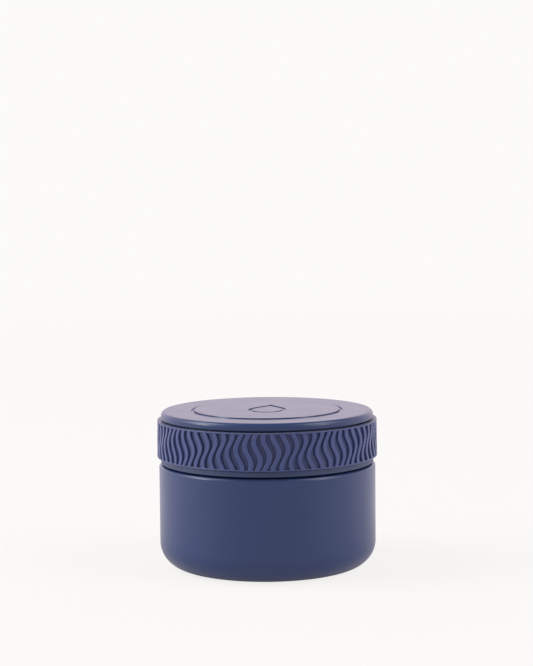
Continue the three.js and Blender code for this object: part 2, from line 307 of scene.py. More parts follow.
def powder_coating():
    finish, tree, shader = new_finish("navy_powder_coating", Metallic=0.0, IOR=1.5)
    cloud = grain(tree, 14, 3.0)
    tree.links.new(tint(tree, cloud, NAVY_DARK, NAVY_LIGHT), shader.inputs["Base Color"])
    tree.links.new(spread(tree, grain(tree, 12, 0.0), 0.28, 0.3), shader.inputs["Roughness"])
    bumped(tree, shader, grain(tree, 0.8, 1.0), 0.003)
    return finish


coating = powder_coating()
print("made", coating.name)

# %% [markdown]
# ## Moulded polypropylene
# The lid's inner moulding shows as a plain ring below the grip band. It is injection-moulded
# polypropylene, coloured through, and duller than the coating: its mould was spark-eroded, so it
# has a fine even texture. The real texture is about 0.15 mm across, and here it is 0.4 mm, as
# coarse as it takes to show. Polypropylene's IOR is 1.49.

# %% Polypropylene


def polypropylene():
    finish, tree, shader = new_finish("navy_polypropylene", Metallic=0.0, IOR=1.49)
    colour = tint(tree, grain(tree, 9, 2.0), "#314163", "#364769")
    tree.links.new(colour, shader.inputs["Base Color"])
    tree.links.new(spread(tree, grain(tree, 1.5), 0.46, 0.56), shader.inputs["Roughness"])
    bumped(tree, shader, grain(tree, 0.4, 1.0), 0.003)
    return finish


moulding = polypropylene()
print("made", moulding.name)

# %% [markdown]
# ## Moulded silicone
# The grip band is compression-moulded silicone, soft to the touch. Its skin scatters light more
# than the coating beside it, which a little sheen gives. The colour goes from a darker tint in the
# valleys, which is painted shade, to a paler one on the crests, which is painted light, by the
# distance from the tin's axis. Silicone's IOR is 1.41.

# %% Silicone
RIB_DEPTH = 1.1
PAINTED_CREST_DEPTH = 0.4  # how far down from its top a rib is painted pale as painted light; the valleys below take painted shade


def axis_distance(tree, place):
    """The distance from the tin's axis, from Object coordinates."""
    flat = add(tree, "ShaderNodeVectorMath", {"operation": "MULTIPLY"}, {1: (1, 1, 0)}, {0: place})
    wires = {0: flat.outputs["Vector"]}
    return add(tree, "ShaderNodeVectorMath", {"operation": "LENGTH"}, wires=wires).outputs["Value"]


def navy_silicone():
    finish, tree, shader = new_finish(
        "navy_silicone", Metallic=0.0, IOR=1.41, Sheen_Weight=0.15, Sheen_Roughness=0.4
    )
    place = add(tree, "ShaderNodeTexCoord").outputs["Object"]
    # Painted shade and light: dark in the valleys, pale on the crests, by the distance from the
    # axis.
    values = {"From Min": (band_r - RIB_DEPTH) * MM, "From Max": (band_r - PAINTED_CREST_DEPTH) * MM}
    wires = {"Value": axis_distance(tree, place)}
    painted_shade_to_light = add(tree, "ShaderNodeMapRange", values=values, wires=wires)
    cloud = grain(tree, 6, 3.0, place)
    # The valley tints are painted shade and the crest tints painted light; the cloud varies both at
    # random.
    wires = {
        "Factor": painted_shade_to_light.outputs["Result"],
        6: tint(tree, cloud, "#36426A", "#3A4770"),
        7: tint(tree, cloud, "#3F4C79", "#475482"),
    }
    mix = add(tree, "ShaderNodeMix", {"data_type": "RGBA"}, wires=wires)
    tree.links.new(mix.outputs[2], shader.inputs["Base Color"])
    tree.links.new(spread(tree, grain(tree, 1.2), 0.34, 0.42), shader.inputs["Roughness"])
    bumped(tree, shader, grain(tree, 0.4, 1.0), 0.004)
    return finish


silicone = navy_silicone()
print("made", silicone.name)

# %% [markdown]
# ## Turned stainless steel
# The liner, the neck and the cover in the lid are type 304 stainless sheet, polished on a
# lathe with a fine belt. The belt leaves scratches that run round the piece, so the pattern may
# change with the radius and the height and never round the axis. The real scratches are some
# 0.05 mm apart. Here they are 0.25 mm, as coarse as it takes to show. A metal keeps its default
# IOR.

# %% Stainless steel


def turned_steel():
    finish, tree, shader = new_finish("turned_stainless_steel", Metallic=1.0)
    place = add(tree, "ShaderNodeTexCoord").outputs["Object"]
    split = add(tree, "ShaderNodeSeparateXYZ", wires={"Vector": place})
    wires = {"X": axis_distance(tree, place), "Z": split.outputs["Z"]}
    section = add(tree, "ShaderNodeCombineXYZ", wires=wires).outputs["Vector"]
    scratches = grain(tree, 0.25, 4.0, section)
    rings = tint(tree, grain(tree, 1.6, 3.0, section), "#B9BABB", "#CBCBCA")
    tree.links.new(rings, shader.inputs["Base Color"])
    tree.links.new(spread(tree, scratches, 0.24, 0.38), shader.inputs["Roughness"])
    bumped(tree, shader, scratches, 0.004)
    return finish


steel = turned_steel()
print("made", steel.name)

# %% [markdown]
# ## Small finishes
# Four small pieces don't show on a closed tin that stands on its foot: the gasket of milky
# silicone, the foam packing, the sintered getter pill and the fused bead that seals the vacuum.

# %% Gasket, foam, getter and bead


def plain_finish(name, dark, light, lump_mm, rough, peel_mm, **surface):
    """One tint and one roughness pattern of the same lumps, with a finer bump on them."""
    finish, tree, shader = new_finish(name, **surface)
    pattern = grain(tree, lump_mm, 3.0)
    tree.links.new(tint(tree, pattern, dark, light), shader.inputs["Base Color"])
    tree.links.new(spread(tree, pattern, *rough), shader.inputs["Roughness"])
    bumped(tree, shader, grain(tree, lump_mm / 4, 2.0), peel_mm)
    return finish


milky = plain_finish("milky_silicone", "#CFD0CC", "#DEDFDC", 3, (0.45, 0.55), 0.004, IOR=1.41)
foam = plain_finish("cream_foam", "#DCD6C4", "#EFEADC", 1.2, (0.9, 1.0), 0.15, IOR=1.4)
sintered = plain_finish("sintered_getter", "#4C4D4E", "#6A6B6C", 0.6, (0.5, 0.7), 0.03, Metallic=1.0)
fused = plain_finish("fused_sealing_bead", "#191A1C", "#26272A", 2, (0.15, 0.25), 0.004, IOR=1.52)
print("made", milky.name, foam.name, sintered.name, fused.name)

# %% [markdown]
# ## The outer shell
# The shell is one steel sheet, drawn and coated. Its foot turns in on a large radius to a narrow
# rim that the tin stands on, and its shoulder turns in on a small one to the neck. There the
# sheet turns up in a short collar round the neck, so the gap under the lid looks dark. It is
# walked round as a wall with two skins, and its corners are then bevelled to the bend radii.

# %% Shell
WELD_GAP = 0.4
COLLAR = 1.8
RIM_LIP = 2.6  # height of the lip turned up inside the standing rim
neck_r = liner_lip_r
foot_r = shell_r - FOOT_FILLET
rim_r = foot_r - RIM_WIDTH
mouth_r = neck_r + WELD_GAP
collar_r = mouth_r + SHELL_WALL
collar_top = shell_top + COLLAR
shoulder_under = shell_top - SHELL_WALL
inner_r = shell_r - SHELL_WALL
lip_r = rim_r - SHELL_WALL

shell = turned(
    "coated_shell",
    [
        (lip_r, RIM_LIP), (lip_r, 0), (shell_r, 0), (shell_r, shell_top), (collar_r, shell_top),
        (collar_r, collar_top), (mouth_r, collar_top), (mouth_r, shoulder_under),
        (inner_r, shoulder_under), (inner_r, SHELL_WALL), (rim_r, SHELL_WALL), (rim_r, RIM_LIP),
    ],
    rounds=[
        ((shell_r, 0), FOOT_FILLET, 24),
        ((inner_r, SHELL_WALL), FOOT_FILLET - SHELL_WALL, 16),
        ((shell_r, shell_top), SHOULDER_FILLET, 8),
        ((inner_r, shoulder_under), 0.5, 3),
        ((collar_r, shell_top), 0.4, 3),
        ((collar_r, collar_top), 0.3, 3),
        ((lip_r, 0), 0.75, 5),
    ],
)
finish_edges(shell)

# %% [markdown]
# ## The base plate and its seal
# The base is a pressed disc, welded inside the rim and coated with the shell. A dimple at its
# middle holds the fused bead over the hole that the air was pumped out through.

# %% Base plate and bead
DIMPLE_R = 5.0
DIMPLE_SLOPE = 1.4
DIMPLE_UP = 1.2
DIMPLE_WALL = 0.4  # how much wider the dimple is on the sheet's upper side
dimple_edge = DIMPLE_R + DIMPLE_SLOPE
sheet_top = base_under + SHELL_WALL

base = turned(
    "base_disc",
    [
        (DIMPLE_R, base_under + DIMPLE_UP), (dimple_edge, base_under), (base_r, base_under),
        (base_r, base_top), (base_r - SHELL_WALL, base_top), (base_r - SHELL_WALL, sheet_top),
        (dimple_edge + DIMPLE_WALL, sheet_top), (DIMPLE_R + DIMPLE_WALL, sheet_top + DIMPLE_UP),
    ],
    closed=False,
    rounds=[
        ((base_r, base_under), 0.7, 5),
        ((dimple_edge, base_under), 0.5, 3),
        ((DIMPLE_R, base_under + DIMPLE_UP), 0.4, 3),
    ],
)
finish_edges(base)

BEAD_EDGE = 0.35  # height of the bead's side
BEAD_SLOPE = (1.1, 0.1)  # in from the side, and up from the foot, to the flat
bead_edge = (bead_r, bead_under + BEAD_EDGE)
bead_flat = (bead_r - BEAD_SLOPE[0], bead_under + BEAD_SLOPE[1])
bead = turned(
    "sealing_bead",
    [(bead_r, bead_top), bead_edge, bead_flat],
    closed=False,
    rounds=[(bead_edge, 0.2, 3), (bead_flat, 0.3, 3)],
    sides=SMALL_ROUND,
)
finish_edges(bead, 60)

# %% [markdown]
# ## The liner and the getter
# The liner is the cup that holds the wax. It is drawn from thin sheet with a generous bottom
# radius, and its lip folds out over the neck, where the two are welded. A getter pill is held
# under its floor to keep the vacuum clean. It is turned at the axis and then moved to its place.

# %% Liner and getter pill
liner_r = neck_r - NECK_WALL - WELD_GAP
bore_r = liner_r - LINER_WALL
lip_under = neck_top + GAP
liner_floor = liner_under + LINER_WALL
HUB = 0.3  # a flat floor is walked out from this share of its radius

liner = turned(
    "steel_liner",
    [
        (liner_r * HUB, liner_under), (liner_r, liner_under), (liner_r, lip_under),
        (neck_r, lip_under), (neck_r, liner_top), (bore_r, liner_top), (bore_r, liner_floor),
        (bore_r * HUB, liner_floor),
    ],
    closed=False,
    rounds=[
        ((liner_r, liner_under), LINER_FILLET, 16),
        ((bore_r, liner_floor), LINER_FILLET - LINER_WALL, 16),
        ((bore_r, liner_top), 0.35, 6),
        ((neck_r, liner_top), 0.22, 5),
    ],
)
finish_edges(liner)

pill_low, pill_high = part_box("getter_pill")
pill_r = (pill_high.x - pill_low.x) / 2 / MM
pill_top = (pill_r, pill_high.z / MM)
pill_foot = (pill_r, pill_low.z / MM)
pill = turned(
    "getter",
    [pill_top, pill_foot],
    closed=False,
    rounds=[(pill_foot, 0.5, 4), (pill_top, 0.2, 2)],
    sides=SMALL_ROUND,
)
pill.location.x = (pill_low.x + pill_high.x) / 2
settle(pill)
finish_edges(pill)

# %% [markdown]
# ## The threads
# The neck and the lid's moulding carry a screw thread with three starts, a ridge for each start.
# A ridge begins as a plane, shaped to the thread's section at the wall it stands on. The Screw
# modifier sweeps it round and up at once, as a thread is cut. Its two ends are then sunk back
# into the wall, and two more copies make the other starts.

# %% Thread ridges
THREAD_STARTS = 3
THREAD_UP = 3.7  # from the shoulder up to where a neck ridge starts
THREAD_LEAD = 12.0  # rise in one whole turn
THREAD_TURN = 0.42  # share of a turn that a ridge runs
THREAD_HEIGHT = 1.3
THREAD_ROOT = 2.0
THREAD_CREST = 1.0
THREAD_ROUND = 0.25
SUNK = 0.25  # how deep a ridge's root stands in its wall
LEAD_IN = 6  # steps over which a ridge rises out of its wall
RIDGE_STEPS = round(THREAD_TURN * 144)  # one for each 2.5 degrees
ENDS_LEFT = 0.12  # share of its height that a ridge keeps at its ends


def thread_ridges(name, wall_r, outwards, start_z):
    """The three ridges of a thread, on the outside or the inside of a wall."""
    side = 1 if outwards else -1
    deep = THREAD_HEIGHT + SUNK
    middle = wall_r + side * (THREAD_HEIGHT - SUNK) / 2
    bpy.ops.object.select_all(action="DESELECT")
    bpy.ops.mesh.primitive_plane_add(
        size=1, location=(middle * MM, 0, start_z * MM), rotation=(math.pi / 2, 0, 0)
    )
    ridge = bpy.context.object
    ridge.name = name
    ridge.scale = (deep * MM, THREAD_ROOT * MM, 1)
    settle(ridge)
    bpy.ops.object.mode_set(mode="EDIT")
    mesh = bmesh.from_edit_mesh(ridge.data)
    bpy.ops.mesh.select_mode(type="VERT")
    for vert in mesh.verts:
        vert.select_set((vert.co.x - middle * MM) * side > 0)
    mesh.select_flush_mode()
    bmesh.update_edit_mesh(ridge.data)
    narrow = THREAD_CREST / THREAD_ROOT
    bpy.ops.transform.resize(value=(1, 1, narrow), center_override=(0, 0, start_z * MM))
    bpy.ops.mesh.bevel(offset=THREAD_ROUND * MM, segments=3, affect="VERTICES")
    bpy.ops.mesh.select_all(action="SELECT")
    bpy.ops.mesh.delete(type="ONLY_FACE")
    bpy.ops.object.mode_set(mode="OBJECT")
    apply_modifier(
        ridge, "SCREW", axis="Z", angle=THREAD_TURN * TURN,
        screw_offset=THREAD_TURN * THREAD_LEAD * MM,
        steps=RIDGE_STEPS, render_steps=RIDGE_STEPS, use_merge_vertices=False,
    )
    sink_ends(ridge, wall_r, side, start_z)
    turn = TURN / THREAD_STARTS
    return [ridge] + [copy_of(ridge, f"{name}_{i}", i * turn) for i in range(1, THREAD_STARTS)]


def sink_ends(ridge, wall_r, side, start_z):
    """Lowers the first and last steps of a ridge into the wall, and closes them."""
    bpy.ops.object.mode_set(mode="EDIT")
    mesh = bmesh.from_edit_mesh(ridge.data)
    step = THREAD_TURN * TURN / RIDGE_STEPS
    for vert in mesh.verts:
        angle = math.atan2(vert.co.y, vert.co.x) % TURN
        index = round(angle / step)
        if index > RIDGE_STEPS + 1:
            index = 0
        nearest_end = min(index, RIDGE_STEPS - index)
        rise = min(1.0, ENDS_LEFT + (1 - ENDS_LEFT) * nearest_end / LEAD_IN)
        radius = vert.co.xy.length / MM
        above = (radius - wall_r) * side
        if above > 0:
            vert.co.xy *= (wall_r + side * above * rise) / radius
    bmesh.update_edit_mesh(ridge.data)
    bpy.ops.mesh.select_all(action="SELECT")
    bpy.ops.mesh.fill_holes(sides=0)
    bpy.ops.mesh.select_all(action="SELECT")
    bpy.ops.mesh.normals_make_consistent(inside=False)
    bpy.ops.object.mode_set(mode="OBJECT")


# %% [markdown]
# ## The neck
# A steel tube stands in the shoulder with its foot flange spot-welded under it. It is a plain
# turned ring, joined with its three ridges.

# %% Neck
thread_z = shell_top + THREAD_UP
neck_foot_top = shell_top - SHELL_WALL - GAP
neck_bore = neck_r - NECK_WALL

neck_tube = turned(
    "threaded_neck",
    [
        (neck_bore, neck_under), (neck_foot_r, neck_under), (neck_foot_r, neck_foot_top),
        (neck_r, neck_foot_top), (neck_r, neck_top), (neck_bore, neck_top),
    ],
    rounds=[((neck_bore, neck_under), 0.6, 4), ((neck_r, neck_foot_top), 0.25, 3)],
)
neck_ridges = thread_ridges("neck_ridge", neck_r, True, thread_z)
neck = joined("threaded_neck", [neck_tube, *neck_ridges])
finish_edges(neck)

# %% [markdown]
# ## The lid's moulding
# The moulding is the lid's real body: a skirt with the inner thread, a plain lower ring that
# shows under the grip band, a deck round the top and a seat over the gasket. The top of the
# skirt steps in under the plate, so the gap between plate and band goes deep and looks dark.
# The section is walked as a ring. The CAD's deck goes right across, and here its middle is left
# open, between the plate and the foam, where it never shows.

# %% Lid moulding
PLATE_RIM = 0.8
COVER_WALL = 0.7
CREST_CLEAR = 0.6
core_r = plate_r - PLATE_RIM - GAP
DECK_WALL = 2.4
DECK_OPEN = 0.5  # share of the radius that is left open
RECESS = 2.5  # the step in at the top of the skirt
RECESS_DOWN = 0.4  # from the top of the band down to the step
COVER_CLEAR = 1.2  # from the liner's bore in to the cover
PACKING_OVER = 1.8  # from the cover out to the wall round the foam
FLANK_CLEAR = 0.15
core_bore = neck_r + THREAD_HEIGHT + CREST_CLEAR
ring_top = band_under - GAP
deck_under = core_top - DECK_WALL
liner_plug_r = bore_r - COVER_CLEAR
packing_r = liner_plug_r + PACKING_OVER
seat_under = cover_top + GAP
step_z = band_top - RECESS_DOWN
step_r = core_r - RECESS
deck_bore = core_r * DECK_OPEN
thread_drop = (THREAD_ROOT + THREAD_CREST) / 2 + FLANK_CLEAR

core = turned(
    "lid_moulding",
    [
        (core_bore, lid_under), (ring_r, lid_under), (ring_r, ring_top), (core_r, ring_top),
        (core_r, step_z), (step_r, step_z), (step_r, core_top), (deck_bore, core_top),
        (deck_bore, deck_under), (packing_r, deck_under), (packing_r, seat_under),
        (core_bore, seat_under),
    ],
    rounds=[
        ((ring_r, lid_under), 0.2, 3),
        ((ring_r, ring_top), 0.2, 3),
        ((core_bore, lid_under), 0.4, 4),
        ((step_r, core_top), 0.35, 3),
        ((core_bore, seat_under), 0.5, 3),
    ],
)
lid_ridges = thread_ridges("lid_ridge", core_bore, False, thread_z - thread_drop)
lid_body = joined("lid_moulding", [core, *lid_ridges])
finish_edges(lid_body)

# %% [markdown]
# ## Inside the lid
# A foam disc packs the hollow. A steel cover closes it over the contents, with a flange above
# the gasket, and the milky gasket is stretched round the cover to seal on the tin's lip.

# %% Foam, cover and gasket
packing = turned(
    "foam_disc",
    [(foam_r, foam_top), (foam_r, foam_under)],
    closed=False,
    rounds=[((foam_r, foam_under), 1.2, 5), ((foam_r, foam_top), 0.4, 3)],
)
finish_edges(packing)

flange_under = cover_top - COVER_WALL
cover_bore = liner_plug_r - COVER_WALL
cover_floor = cover_under + COVER_WALL
cover = turned(
    "steel_cover",
    [
        (liner_plug_r * HUB, cover_under), (liner_plug_r, cover_under),
        (liner_plug_r, flange_under), (cover_r, flange_under), (cover_r, cover_top),
        (cover_bore, cover_top), (cover_bore, cover_floor), (liner_plug_r * HUB, cover_floor),
    ],
    closed=False,
    rounds=[
        ((liner_plug_r, cover_under), 2.0, 8),
        ((cover_bore, cover_floor), 1.3, 6),
        ((cover_bore, cover_top), 0.3, 3),
        ((cover_r, flange_under), 0.25, 3),
    ],
)
finish_edges(cover)

GASKET_CLEAR = 0.4
gasket_bore = liner_plug_r + GASKET_CLEAR
gasket_corners = [
    (gasket_bore, gasket_under), (gasket_r, gasket_under),
    (gasket_r, gasket_top), (gasket_bore, gasket_top),
]
gasket_rounds = [(corner, 0.45, 5) for corner in gasket_corners]
gasket = turned("sealing_ring", gasket_corners, rounds=gasket_rounds)
finish_edges(gasket, 60)

# %% [markdown]
# ## The lid plate
# The plate is a pressed steel cap, coated like the shell. A narrow ring groove is pressed into its
# top, and the disc inside the groove stands a little proud, so the groove's near side reads as
# a dark line. A plain flame lies at its middle as an engraved line. The cap is turned first. The
# flame is a closed curve, flattened to a solid line and cut out with a Boolean modifier.

# %% Lid plate
PLATE_WALL = 1.0
PLATE_FILLET = 1.8
GROOVE_R = 33.7
GROOVE_WIDTH = 1.5
GROOVE_DEPTH = 0.5
GROOVE_SLOPE = 0.15
DISC_RAISE = 0.4
rim_inner = plate_r - PLATE_RIM
groove_out = GROOVE_R + GROOVE_WIDTH
rim_top = lid_top - DISC_RAISE
groove_floor = rim_top - GROOVE_DEPTH
plate_low = rim_top - PLATE_WALL

plate = turned(
    "top_plate",
    [
        (GROOVE_R, lid_top), (GROOVE_R + GROOVE_SLOPE, groove_floor),
        (groove_out - GROOVE_SLOPE, groove_floor), (groove_out, rim_top), (plate_r, rim_top),
        (plate_r, plate_under), (rim_inner, plate_under), (rim_inner, plate_low),
        (GROOVE_R, plate_low),
    ],
    closed=False,
    rounds=[
        ((plate_r, rim_top), PLATE_FILLET, 10),
        ((plate_r, plate_under), 0.2, 3),
        ((rim_inner, plate_low), 0.5, 3),
        ((GROOVE_R, lid_top), 0.12, 3),
        ((groove_out, rim_top), 0.12, 3),
    ],
)

# %% [markdown]
# ### The flame
# A Bezier circle has four points. The lowest stays round, and the highest becomes the tip, with
# straight handles and a little lean. Two such outlines in one flat curve make a line between them.

# %% Flame cutter
FLAME_R = 8.5
FLAME_TIP = 14.0
FLAME_LINE = 1.7
FLAME_DEPTH = 0.4
FLAME_DROP = 0.35  # how far the round part lies below the middle, as a share of the tip's height
FLAME_LEAN = 0.25
TIP_HANDLE = 0.35
CUTTER_HALF = 0.5
flame_foot = -FLAME_DROP * FLAME_TIP


def flame_outline(share):
    """A flame-shaped closed curve, at a share of the full size about its foot."""
    bpy.ops.object.select_all(action="DESELECT")
    radius = FLAME_R * share * MM
    foot = flame_foot * MM
    tip = foot + (FLAME_TIP - flame_foot) * share * MM
    bpy.ops.curve.primitive_bezier_circle_add(radius=radius, location=(0, 0, 0))
    outline = bpy.context.object
    outline.data.dimensions = "2D"
    points = outline.data.splines[0].bezier_points
    for point in points:
        point.co.y += foot
        point.handle_left.y += foot
        point.handle_right.y += foot
    top = max(points, key=lambda p: p.co.y)
    top.handle_left_type = top.handle_right_type = "FREE"
    top.co = (radius * FLAME_LEAN, tip, 0)
    sides = sorted((p for p in points if abs(p.co.y - foot) < 1e-6), key=lambda p: p.co.x)
    for handle in ("handle_left", "handle_right"):
        towards = sides[0] if getattr(top, handle).x < 0 else sides[-1]
        setattr(top, handle, top.co.lerp(towards.co, TIP_HANDLE))
    return outline


flame = joined("flame", [flame_outline(1), flame_outline(1 - FLAME_LINE / FLAME_R)])
flame.data.fill_mode = "BOTH"
flame.data.resolution_u = 16
flame.data.extrude = CUTTER_HALF * MM
flame.location.z = (lid_top - FLAME_DEPTH + CUTTER_HALF) * MM
only(flame)
bpy.ops.object.convert(target="MESH")
flame = bpy.context.object
bpy.ops.object.mode_set(mode="EDIT")
bpy.ops.mesh.select_all(action="SELECT")
bpy.ops.mesh.remove_doubles(threshold=1e-6)
bpy.ops.mesh.normals_make_consistent(inside=False)
bpy.ops.object.mode_set(mode="OBJECT")
settle(flame)
apply_modifier(plate, "BOOLEAN", object=flame, operation="DIFFERENCE", solver="EXACT")
bpy.data.objects.remove(flame)
finish_edges(plate)

# %% [markdown]
# ## The grip band
# The band is one silicone sleeve with a lip along each edge and wavy ribs between them. It could
# be one dense sheet pushed into shape, but a maker would cut the ribs one by one, and so does
# this cell. One straight bar is modelled, with soft edges. A copy for each place is bent row by
# row into its wave, which starts a little later than its neighbour's. The waves come round again
# after half a turn, so each bent rib is used twice. A row that slides sideways gets a little
# further from the axis, so the bars start a hair inside the sleeve's radius.

# %% Sleeve
RIB_COUNT = 78
RIB_TOP = 2.0
RIB_FLANK = 0.25
LIP = 0.6
WAVE_LENGTH = 16.6
WAVE_SWING = 1.45
WAVE_ROUNDS = 8  # how often the wave shifts through a whole length on its way round the band
WAVE_START = math.radians(307)
FIRST_RIB = math.radians(1.82)
BAND_TAPER = 0.2
BAND_CLEAR = 0.4
band_top_r = band_r - BAND_TAPER
sleeve_bore = core_r + BAND_CLEAR
lip_low = band_under + LIP  # inner edges of the two lips
lip_high = band_top - LIP
valley_r = band_r - RIB_DEPTH
valley_top_r = band_top_r - RIB_DEPTH

sleeve = turned(
    "ribbed_band",
    [
        (sleeve_bore, band_under), (band_r, band_under), (band_r, lip_low), (valley_r, lip_low),
        (valley_top_r, lip_high), (band_top_r, lip_high), (band_top_r, band_top),
        (sleeve_bore, band_top),
    ],
    rounds=[
        ((band_r, band_under), 0.25, 3),
        ((band_r, lip_low), 0.15, 2),
        ((band_top_r, band_top), 0.1, 2),
        ((band_top_r, lip_high), 0.15, 2),
        ((valley_r, lip_low), 0.3, 3),
        ((valley_top_r, lip_high), 0.3, 3),
    ],
    sides=4 * RIB_COUNT,
)

# %% One straight rib
RIB_ROWS = 16
RIB_SUNK = 0.4  # how deep a rib's foot stands in the sleeve
RIB_OVERLAP = 0.25  # how far its ends reach into the lips
RIB_INSIDE = 0.045
RIB_ROUND = 0.3
EDGE_NEAR = 0.1
rib_low = lip_low - RIB_OVERLAP
rib_high = lip_high + RIB_OVERLAP
rib_height = rib_high - rib_low
rib_foot = valley_top_r - RIB_SUNK
rib_r = band_r - RIB_INSIDE
rib_wide = RIB_TOP + 2 * RIB_FLANK
outer_x = (band_r - EDGE_NEAR) * MM

bpy.ops.object.select_all(action="DESELECT")
bpy.ops.mesh.primitive_cube_add(
    size=1, location=((rib_foot + rib_r) / 2 * MM, 0, (rib_low + rib_high) / 2 * MM)
)
rib = bpy.context.object
rib.scale = ((rib_r - rib_foot) * MM, rib_wide * MM, rib_height * MM)
settle(rib)
bpy.ops.object.mode_set(mode="EDIT")
mesh = bmesh.from_edit_mesh(rib.data)


def select_where(mesh, test):
    """In edit mode, selects the vertices that pass a test, and what lies between them."""
    bpy.ops.mesh.select_mode(type="VERT")
    bpy.ops.mesh.select_all(action="DESELECT")
    for vert in mesh.verts:
        vert.select_set(test(vert.co))
    mesh.select_flush_mode()


select_where(mesh, lambda co: co.x > outer_x)
bpy.ops.transform.resize(value=(1, RIB_TOP / rib_wide, 1), center_override=(0, 0, 0))
select_where(mesh, lambda co: co.x > outer_x and co.z > (band_top - 1) * MM)
bpy.ops.transform.translate(value=(-BAND_TAPER * MM, 0, 0))
bpy.ops.mesh.select_mode(type="EDGE")
bpy.ops.mesh.select_all(action="DESELECT")
for edge in mesh.edges:
    one, other = (vert.co for vert in edge.verts)
    on_crest = min(one.x, other.x) > (band_top_r - EDGE_NEAR) * MM
    edge.select_set(on_crest and abs(one.z - other.z) > 1 * MM)
bmesh.update_edit_mesh(rib.data)
bpy.ops.mesh.bevel(offset=RIB_ROUND * MM, segments=3, affect="EDGES")
for row in range(1, RIB_ROWS):
    bpy.ops.mesh.select_all(action="SELECT")
    cut_z = (rib_low + rib_height * row / RIB_ROWS) * MM
    bpy.ops.mesh.bisect(plane_co=(0, 0, cut_z), plane_no=(0, 0, 1))
bpy.ops.object.mode_set(mode="OBJECT")
print("straight rib:", len(rib.data.polygons), "faces")

# %% Bend the ribs and close the band


def bend(piece, angle):
    """Slides each row of a rib sideways, as far as the wave has swung there."""
    only(piece)
    bpy.ops.object.mode_set(mode="EDIT")
    mesh = bmesh.from_edit_mesh(piece.data)
    for row in range(RIB_ROWS + 1):
        z = rib_low + rib_height * row / RIB_ROWS
        phase = TURN * (z - band_under) / WAVE_LENGTH - WAVE_ROUNDS * angle + WAVE_START
        select_where(mesh, lambda co: abs(co.z - z * MM) < 0.1 * MM)
        bpy.ops.transform.translate(value=(0, WAVE_SWING * math.sin(phase) * MM, 0))
    bpy.ops.object.mode_set(mode="OBJECT")


ribs = []
for number in range(RIB_COUNT // 2):
    angle = FIRST_RIB + number * TURN / RIB_COUNT
    bent = copy_of(rib, f"rib_{number}")
    bend(bent, angle)
    ribs.append(copy_of(bent, f"rib_{number}_far", angle + math.pi))
    bent.data.transform(Matrix.Rotation(angle, 4, "Z"))
    ribs.append(bent)
bpy.data.objects.remove(rib)
band = joined("ribbed_band", [sleeve, *ribs])
finish_edges(band)

# %% [markdown]
# ## Bodies, places and finishes
# Each piece rides on the body that its CAD node belongs to, stands for that node, and takes its
# finish. The gasket rises with the lid, and the rest of the lid also turns.

# %% Assembly
ASSEMBLY = [
    (shell, "tin", "outer_shell", coating, "body_coating"),
    (base, "tin", "outer_base", coating, "body_coating"),
    (bead, "tin", "vacuum_plug", fused, "seal_bead"),
    (neck, "tin", "neck_ring", steel, "bare_steel"),
    (liner, "tin", "inner_liner", steel, "bare_steel"),
    (pill, "tin", "getter_pill", sintered, "getter_metal"),
    (gasket, "seal", "lid_gasket", milky, "gasket_silicone"),
    (lid_body, "lid", "lid_core", moulding, "lid_moulding"),
    (plate, "lid", "lid_plate", coating, "body_coating"),
    (band, "lid", "grip_band", silicone, "grip_silicone"),
    (packing, "lid", "lid_foam", foam, "foam"),
    (cover, "lid", "lid_cover", steel, "bare_steel"),
]
for piece, body, node, finish, slot in ASSEMBLY:
    piece.data.materials.clear()
    piece.data.materials.append(finish)
    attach(piece, body)
    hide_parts(node)
    print(f"{piece.name} stands for {node} on {body}")

# %% [markdown]
# ## Floor, light and camera
# The tin stands on a white floor that glows, as a sheet of acrylic lit from below on a product
# table does. Most of its brightness is its own glow, so the shadows on it stay faint, and past two
# metres all of it is, so it meets the backdrop with no horizon. The tin's walls mirror this floor,
# and its glow lights them as painted light. What they see of it has its own strength and a pinkish
# tint: painted shade dims it towards the front, which keeps the tin's middle dark and its sides
# light, and painted shade makes it nearly black under the foot, as a contact shadow.

# %% Floor
BACKDROP = "#FCFBF9"
FLOOR_HALF = 60.0
FLOOR_DOWN = 0.02  # below the foot, so that the two never share a plane
FOOT_SHADE_STOPS = ((0.038, 0.05), (0.048, 0.64), (0.17, 1.0))  # painted shade under the foot: metres from the axis, share of the glow left
FRONT_Y, BACK_Y = -0.25, 0.05  # metres, where the mirrored floor is dimmest and brightest
FRONT_BOUNCE, BACK_BOUNCE = 0.52, 0.9
FADE_START, FADE_END = 0.5, 2.0  # metres from the axis, where the floor turns to glow alone
NEAR_GLOW, FAR_GLOW = 0.86, 1.0
bpy.ops.object.select_all(action="DESELECT")
bpy.ops.mesh.primitive_plane_add(size=2 * FLOOR_HALF, location=(0, 0, -FLOOR_DOWN * MM))
floor = bpy.context.object
floor.name = "floor"
white, tree, shader = new_finish("white_floor_painted_glow", Metallic=0.0, Roughness=0.9)
shader.inputs["Specular IOR Level"].default_value = 0.0
place = add(tree, "ShaderNodeTexCoord").outputs["Object"]
split = add(tree, "ShaderNodeSeparateXYZ", wires={"Vector": place})
# Painted shade: the glow that the tin's walls see is dimmed towards the front.
depth = smooth_range(tree, split.outputs["Y"], (FRONT_Y, BACK_Y), (FRONT_BOUNCE, BACK_BOUNCE))
away = add(tree, "ShaderNodeVectorMath", {"operation": "LENGTH"}, wires={0: place})
